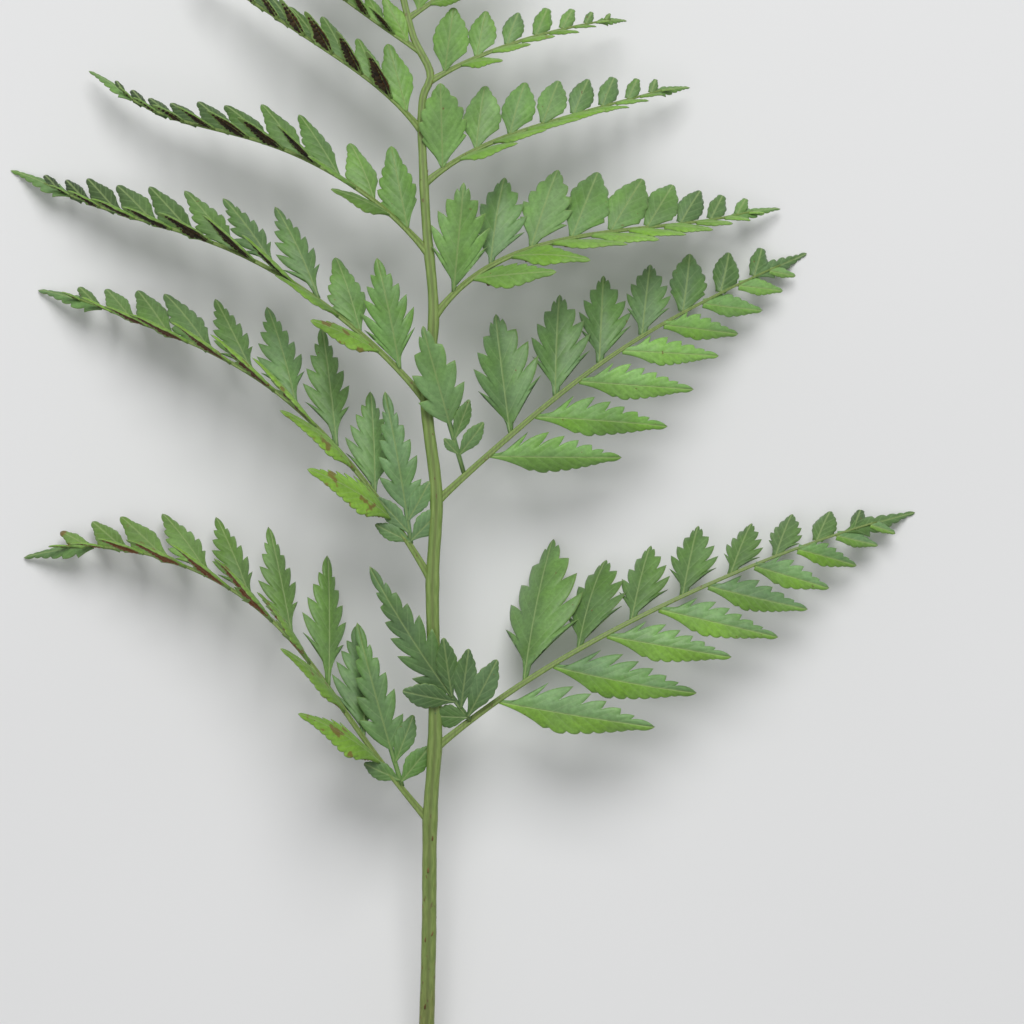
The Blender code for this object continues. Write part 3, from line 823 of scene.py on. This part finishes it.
def add_terminal(leaves, costa, tones):
    """The toothed end of a pinna, where its last leaflets run together."""
    pinna = costa.pinna
    tangent, toward, normal = costa.frame(0.95)
    origin = costa.point(TERMINAL_AT)
    along = unit(costa.point(1.0) - origin)
    side = unit(np.cross(along, normal))
    length = (1.0 - TERMINAL_AT) * pinna.length * 1.04 + 1.0
    width = 0.26 * length + 0.8
    blade = Blade(origin, along, side, unit(np.cross(side, along)), length, width, pinna.start)
    shape = Half(width / 2, 3 if length < 9 else 5, 0.42, 0.22, 1.2, 0.2, 0.6)
    for sign in (-1, 1):
        keys = half_keys(length, shape, 0.3 * (sign > 0))
        add_half(leaves, blade, keys, sign, length > 9, tones[0])


def add_costa(piece, costa):
    """The grooved rib of a pinna, swollen where it leaves the rachis."""
    pinna = costa.pinna
    rings = 20 + int(pinna.length * 0.35)
    shares = np.linspace(0.0, 0.92, rings)
    centre = np.array([costa.point(s) for s in shares])
    frames = [costa.frame(s) for s in shares]
    _, across, up = (np.array(part) for part in zip(*frames))
    wide = np.array([costa.width(s) for s in shares]) / 2
    swell = 1 + 0.45 * np.exp(-shares * pinna.length / 4.0)
    thick = (COSTA_THICKNESS * (1 - shares) + 0.6 * shares) * costa.fine() / 2
    wide = wide * swell * (1 - 0.55 * shares**3)
    high = np.maximum(thick, 0.28) * swell * 1.1
    add_tube(piece, centre, across, up, wide, high, 14, 0.42)


def add_stalk(piece, pinnae):
    """The stalk and rachis, with two ridges along its face and a swelling at each pinna."""
    stations = np.arange(RACHIS_START, RACHIS_END, 2.0)
    centre = np.array([rachis_point(s) for s in stations])
    ahead = np.array([rachis_point(s + 2) - rachis_point(s - 2) for s in stations])
    ahead[0] = ahead[1]
    forward = unit(ahead)
    across = unit(np.cross(forward, (0, 0, 1)))
    up = np.cross(across, forward)
    radius = np.array([rachis_radius(s) for s in stations])
    for pinna in pinnae:
        radius = radius * (1 + 0.10 * np.exp(-(((stations - pinna.start) / 4.0) ** 2)))
    radius = radius * (1 + 0.012 * np.sin(stations * 0.9) + 0.015 * np.sin(stations * 0.31))
    add_tube(piece, centre, across, up, radius * 1.04, radius, 20, 0.30, 0, 1)
    for k in range(STALK_SCALES):
        along = RACHIS_START + 4 + SCALY_LENGTH * (k / STALK_SCALES) ** 1.5 + wander(k, 1)
        add_scale(piece, along, math.pi * wander(k, 2), 1.5 + 0.6 * wander(k, 3))
    for k, pinna in enumerate(LOW_PINNAE):
        for j in range(5):
            turn = math.pi / 2 - pinna.side * (0.7 + 0.5 * j / 4)
            add_scale(piece, pinna.start - 1.5 + 1.1 * j, turn, 1.2 + 0.4 * wander(k, j))


def add_scale(piece, along, turn, length):
    """A thin dry scale on the stalk's surface, its point a little raised."""
    forward = unit(rachis_point(along + 2) - rachis_point(along - 2))
    across = unit(np.cross(forward, (0, 0, 1)))
    up = np.cross(across, forward)
    out = math.cos(turn) * across + math.sin(turn) * up
    way = unit(forward + 0.22 * out + 0.3 * np.cross(out, forward) * wander(along, 4))
    side = unit(np.cross(way, out))
    t = np.array([0.0, 0.25, 0.6, 1.0])
    centre = rachis_point(along) + out * rachis_radius(along) * 0.94 + way * (t * length)[:, None]
    wide = 0.30 * np.array([0.5, 1.0, 0.7, 0.08])
    rows = np.ones((4, 1))
    add_tube(piece, centre, side * rows, np.cross(side, way) * rows, wide, 0.2 * wide, 4, 0, 2)


class Graph:
    """Short names for building a material's nodes."""

    def __init__(self, name):
        self.material = bpy.data.materials.new(name)
        self.material.use_nodes = True
        self.tree = self.material.node_tree
        self.new = self.tree.nodes.new
        self.shader = self.tree.nodes["Principled BSDF"]

    def link(self, source, socket):
        if isinstance(source, bpy.types.NodeSocket):
            self.tree.links.new(source, socket)
        else:
            socket.default_value = source

    def math(self, operation, *values, clamp=False):
        node = self.new("ShaderNodeMath")
        node.operation = operation
        node.use_clamp = clamp
        for k, value in enumerate(values):
            self.link(value, node.inputs[k])
        return node.outputs[0]

    def mix(self, share, low, high, blend="MIX"):
        node = self.new("ShaderNodeMix")
        node.data_type = "RGBA"
        node.blend_type = blend
        self.link(share, node.inputs[0])
        self.link(low, node.inputs[6])
        self.link(high, node.inputs[7])
        return node.outputs[2]

    def span(self, value, low, high, to_low=0.0, to_high=1.0):
        """Smooth change from to_low to to_high as the value goes from low to high."""
        node = self.new("ShaderNodeMapRange")
        node.interpolation_type = "SMOOTHSTEP"
        for k, item in enumerate((value, low, high, to_low, to_high)):
            self.link(item, node.inputs[k])
        return node.outputs[0]

    def noise(self, size, detail=3.0, stretch=None, roughness=0.5):
        """Noise whose lumps are about size metres across."""
        coords = self.place()
        if stretch:
            mapping = self.new("ShaderNodeMapping")
            mapping.inputs["Scale"].default_value = stretch
            self.link(coords, mapping.inputs["Vector"])
            coords = mapping.outputs["Vector"]
        node = self.new("ShaderNodeTexNoise")
        self.link(coords, node.inputs["Vector"])
        node.inputs["Scale"].default_value = 1.0 / size
        node.inputs["Detail"].default_value = detail
        node.inputs["Roughness"].default_value = roughness
        return node.outputs["Fac"]

    def values(self, name):
        node = self.new("ShaderNodeAttribute")
        node.attribute_name = name
        return self.parts(node.outputs["Vector"])

    def parts(self, vector):
        split = self.new("ShaderNodeSeparateXYZ")
        self.link(vector, split.inputs[0])
        return tuple(split.outputs)

    def place(self):
        """Where on the frond the surface is, in metres."""
        return self.new("ShaderNodeTexCoord").outputs["Object"]

    def bump(self, height, strength, distance):
        node = self.new("ShaderNodeBump")
        node.inputs["Strength"].default_value = strength
        node.inputs["Distance"].default_value = distance
        self.link(height, node.inputs["Height"])
        self.link(node.outputs[0], self.shader.inputs["Normal"])

    def distance(self, point):
        """How far the surface is from a point, in metres."""
        node = self.new("ShaderNodeVectorMath")
        node.operation = "DISTANCE"
        self.link(self.place(), node.inputs[0])
        node.inputs[1].default_value = tuple(point)
        return node.outputs["Value"]

    def finish(self, colour, roughness, specular, sheen=0.0):
        self.link(colour, self.shader.inputs["Base Color"])
        self.link(roughness, self.shader.inputs["Roughness"])
        self.shader.inputs["Specular IOR Level"].default_value = specular
        if sheen:
            self.shader.inputs["Sheen Weight"].default_value = sheen
            self.shader.inputs["Sheen Roughness"].default_value = 0.55
            self.shader.inputs["Sheen Tint"].default_value = (0.80, 0.95, 0.88, 1)
        return self.material


def upper_material():
    """Green face with a painted blue reflection of the sky, painted light and shade, paler ribs,
    fine veins and a few brown flecks.
    """
    g = Graph("leaf_upper")
    rib, vein, rim = g.values("lines")
    sky_reflection_share, light, yellow = g.values("tone")
    fresh = (0.100, 0.230, 0.026, 1)
    blue = (0.115, 0.215, 0.083, 1)
    lime = (0.21, 0.36, 0.03, 1)
    pale_vein = (0.25, 0.36, 0.15, 1)
    pale_rib, pale_rim = (0.30, 0.40, 0.15, 1), (0.26, 0.34, 0.10, 1)
    fleck_brown, patch_brown = (0.13, 0.065, 0.02, 1), (0.17, 0.07, 0.02, 1)
    broad = g.noise(0.011, 2.0)
    # Painted reflection: the higher the tone's first value, the bluer the face, as where the sky is
    # reflected
    sky_reflection_mix = g.math("ADD", sky_reflection_share, g.span(broad, 0.3, 0.7, -0.25, 0.25), clamp=True)
    colour = g.mix(sky_reflection_mix, fresh, blue)
    colour = g.mix(g.math("MULTIPLY", yellow, 0.55, clamp=True), colour, lime)
    fine = g.noise(0.0011, 4.0, roughness=0.62)
    shade = g.span(fine, 0.3, 0.7, 0.86, 1.12)
    # Painted light and shade: each row's and half's lightness from the tone
    shade = g.math("MULTIPLY", shade, g.math("MULTIPLY_ADD", light, 0.7, 1.0))
    # Painted shade along the midrib's groove and painted light toward the lobes' outer parts
    shade = g.math("MULTIPLY", shade, g.span(rib, 0.0, 4.0, 0.90, 1.08))
    shade = g.math("MULTIPLY", shade, g.span(g.noise(0.016, 2.0), 0.3, 0.7, 0.86, 1.16))
    grey = g.new("ShaderNodeCombineXYZ")
    for socket in grey.inputs:
        g.link(shade, socket)
    colour = g.mix(1.0, colour, grey.outputs[0], "MULTIPLY")
    inner = g.span(rim, 0.75, 1.0, 1.0, 0.2)
    side_vein = g.math("MULTIPLY", g.span(vein, 0.05, 0.22, 0.22, 0.0), inner)
    colour = g.mix(side_vein, colour, pale_vein)
    colour = g.mix(g.span(rib, 0.08, 0.36, 0.5, 0.0), colour, pale_rib)
    colour = g.mix(g.span(rim, 0.95, 1.0, 0.0, 0.35), colour, pale_rim)
    fleck = g.span(g.noise(0.0019, 2.0), 0.735, 0.77, 0.0, 0.8)
    colour = g.mix(fleck, colour, fleck_brown)
    patch = g.math("MULTIPLY", g.span(g.noise(0.0045, 2.0), 0.60, 0.66), g.span(yellow, 0.62, 0.8))
    colour = g.mix(g.math("MULTIPLY", patch, 0.75), colour, patch_brown)
    grain = g.math("MULTIPLY", g.noise(0.0004, 3.0), 0.5)
    g.bump(g.math("ADD", grain, g.math("MULTIPLY", side_vein, -0.9)), 0.30, 0.00022)
    roughness = g.span(broad, 0.3, 0.7, 0.42, 0.56)
    return g.finish(colour, roughness, 0.38, 0.10)


def under_material():
    """Paler yellow-green underside."""
    g = Graph("leaf_under")
    rib, vein, _ = g.values("lines")
    pale, paler = (0.20, 0.33, 0.085, 1), (0.24, 0.37, 0.12, 1)
    dark_vein, pale_rib = (0.15, 0.26, 0.07, 1), (0.32, 0.40, 0.16, 1)
    colour = g.mix(g.span(g.noise(0.006, 3.0), 0.3, 0.7), pale, paler)
    colour = g.mix(g.span(vein, 0.05, 0.2, 0.35, 0.0), colour, dark_vein)
    colour = g.mix(g.span(rib, 0.15, 0.6, 0.5, 0.0), colour, pale_rib)
    g.bump(g.noise(0.0003, 3.0), 0.25, 0.00015)
    roughness = g.span(g.noise(0.004, 2.0), 0.3, 0.7, 0.55, 0.68)
    return g.finish(colour, roughness, 0.25)


def stem_material():
    """Two pale ridges beside a groove painted darker as shade, browner toward the cut end."""
    g = Graph("stem")
    around, _, _ = g.values("lines")
    greens = (0.145, 0.228, 0.050, 1), (0.215, 0.305, 0.082, 1)
    browns = (0.15, 0.125, 0.04, 1), (0.21, 0.17, 0.06, 1)
    groove_shade, speck = (0.10, 0.12, 0.036, 1), (0.12, 0.065, 0.03, 1)
    _, along, _ = g.parts(g.place())
    low = g.span(along, -0.235, -0.02, 1.0, 0.0)
    streak = g.noise(0.0016, 3.0, (3.0, 0.25, 3.0))
    streaked = g.span(streak, 0.3, 0.7)
    patch = g.math("MULTIPLY", low, g.span(g.noise(0.02, 3.0), 0.35, 0.7, 0.35, 0.9))
    colour = g.mix(patch, g.mix(streaked, *greens), g.mix(streaked, *browns))
    # Painted shade in the groove along the upper side of the stalk and the pinna ribs
    colour = g.mix(g.span(around, 0.05, 0.5, 0.55, 0.0), colour, groove_shade)
    fleck = g.span(g.noise(0.0012, 2.0, (1.0, 0.5, 1.0)), 0.68, 0.74, 0.0, 0.7)
    colour = g.mix(fleck, colour, speck)
    g.bump(streak, 0.35, 0.00025)
    return g.finish(colour, g.span(streak, 0.3, 0.7, 0.42, 0.58), 0.4)


def cut_material():
    """Pale pith with a ring of brown strands and a dried rim."""
    g = Graph("cut")
    piths = (0.30, 0.30, 0.13, 1), (0.42, 0.38, 0.19, 1)
    dried, strand = (0.10, 0.07, 0.025, 1), (0.09, 0.045, 0.015, 1)
    strands, ring = 5, 0.00115
    middle = (rachis_point(RACHIS_START) - CENTRE) * MM
    pith = g.mix(g.span(g.noise(0.0003, 3.0), 0.3, 0.7), *piths)
    colour = g.mix(g.span(g.distance(middle), 0.0016, 0.0022), pith, dried)
    for k in range(strands):
        turn = 2 * math.pi * k / strands + 0.5
        spot = middle + ring * np.array([math.cos(turn), 0.0, math.sin(turn)])
        colour = g.mix(g.span(g.distance(spot), 0.0002, 0.00038, 0.85, 0.0), colour, strand)
    g.bump(g.noise(0.0002, 3.0), 0.5, 0.0002)
    return g.finish(colour, 0.7, 0.25)


def scale_material():
    """Dry brown scales."""
    g = Graph("scale")
    tint = g.span(g.noise(0.003, 2.0), 0.3, 0.7)
    return g.finish(g.mix(tint, (0.13, 0.062, 0.022, 1), (0.26, 0.15, 0.06, 1)), 0.6, 0.3)


def sorus_material():
    """Nearly black covers over red-brown spore cases, rust brown all over when ripe."""
    g = Graph("sorus")
    ring, _, _ = g.values("lines")
    tone, rust, _ = g.values("tone")
    speck = g.noise(0.0002, 3.0)
    case = g.mix(g.span(speck, 0.35, 0.65), (0.06, 0.022, 0.008, 1), (0.17, 0.07, 0.02, 1))
    cover = g.mix(tone, (0.020, 0.014, 0.008, 1), (0.055, 0.035, 0.014, 1))
    colour = g.mix(g.span(ring, 0.74, 0.9), cover, case)
    ripe = g.mix(speck, (0.16, 0.055, 0.016, 1), (0.30, 0.12, 0.035, 1))
    colour = g.mix(g.math("MULTIPLY", rust, 0.85), colour, ripe)
    g.bump(speck, 0.6, 0.00015)
    return g.finish(colour, g.span(speck, 0.3, 0.7, 0.5, 0.75), 0.3)


def floor_material():
    g = Graph("floor")
    greys = (0.735, 0.735, 0.735, 1), (0.76, 0.76, 0.76, 1)
    return g.finish(g.mix(g.span(g.noise(0.25, 2.0), 0.2, 0.8), *greys), 0.85, 0.2)


def make_floor():
    mesh = bpy.data.meshes.new("floor")
    size = 6.0
    corners = [(-size, -size, 0), (size, -size, 0), (size, size, 0), (-size, size, 0)]
    mesh.from_pydata(corners, [], [(0, 1, 2, 3)])
    mesh.materials.append(floor_material())
    floor = bpy.data.objects.new("floor", mesh)
    bpy.context.scene.collection.objects.link(floor)


def make_light(name, place, size, power):
    data = bpy.data.lights.new(name, "AREA")
    data.shape = "DISK"
    data.size = size
    data.energy = power
    lamp = bpy.data.objects.new(name, data)
    lamp.location = place
    aim = -np.array(place)
    flat = math.hypot(aim[0], aim[1])
    lamp.rotation_euler = (math.atan2(flat, -aim[2]), 0, math.atan2(aim[0], -aim[1]) + math.pi)
    bpy.context.scene.collection.objects.link(lamp)


def make_camera():
    """Straight above, on the part of the frond that the photograph frames."""
    distance, framed, frond_height = 2.0, 0.3072, 0.025
    data = bpy.data.cameras.new("camera")
    data.sensor_width = 36
    data.lens = data.sensor_width * distance / framed
    data.clip_end = 20
    camera = bpy.data.objects.new("camera", data)
    camera.location = (0.0145, 0.0136, distance + frond_height)
    bpy.context.scene.collection.objects.link(camera)
    bpy.context.scene.camera = camera


def make_world():
    world = bpy.data.worlds.new("studio")
    world.use_nodes = True
    ground = world.node_tree.nodes["Background"]
    ground.inputs["Color"].default_value = (0.97, 0.985, 1.0, 1)
    ground.inputs["Strength"].default_value = 0.35
    bpy.context.scene.world = world


def main():
    bpy.context.scene.view_settings.view_transform = "Standard"
    make_camera()
    make_floor()
    make_world()
    make_light("sky", (0.1, 1.5, 1.9), 1.5, 44)
    make_light("fill", (-0.6, -0.5, 2.2), 1.8, 7)
    leaf = [upper_material(), under_material()]
    stem = stem_material()
    groups = {
        "left_low_leaflets": LOW_PINNAE[0:4:2],
        "left_high_leaflets": LOW_PINNAE[4::2],
        "right_low_leaflets": LOW_PINNAE[1:4:2],
        "right_high_leaflets": LOW_PINNAE[5::2],
        "tip_leaflets": top_pinnae(),
    }
    stems, ribs, sori = Piece("stems"), Piece("midribs"), Piece("sori")
    add_stalk(stems, LOW_PINNAE + tuple(top_pinnae()))
    for group, members in groups.items():
        leaves = Piece(group)
        for pinna in members:
            costa = Costa(pinna)
            tones = ROW_TONES_AND_PAINTED_LIGHT.get(pinna.name, TOP_TONES_AND_PAINTED_LIGHT)
            add_costa(stems, costa)
            for leaflet in leaflets(pinna):
                if leaflet.share > TERMINAL_AT + 0.05:
                    continue
                add_leaflet(leaves, ribs, sori, costa, leaflet, tones)
            add_terminal(leaves, costa, tones)
        leaves.build(leaf, "leaf")
    stems.build([stem, cut_material(), scale_material()], "stem")
    ribs.build([stem], "stem")
    sori.build([sorus_material()], "sorus")


main()
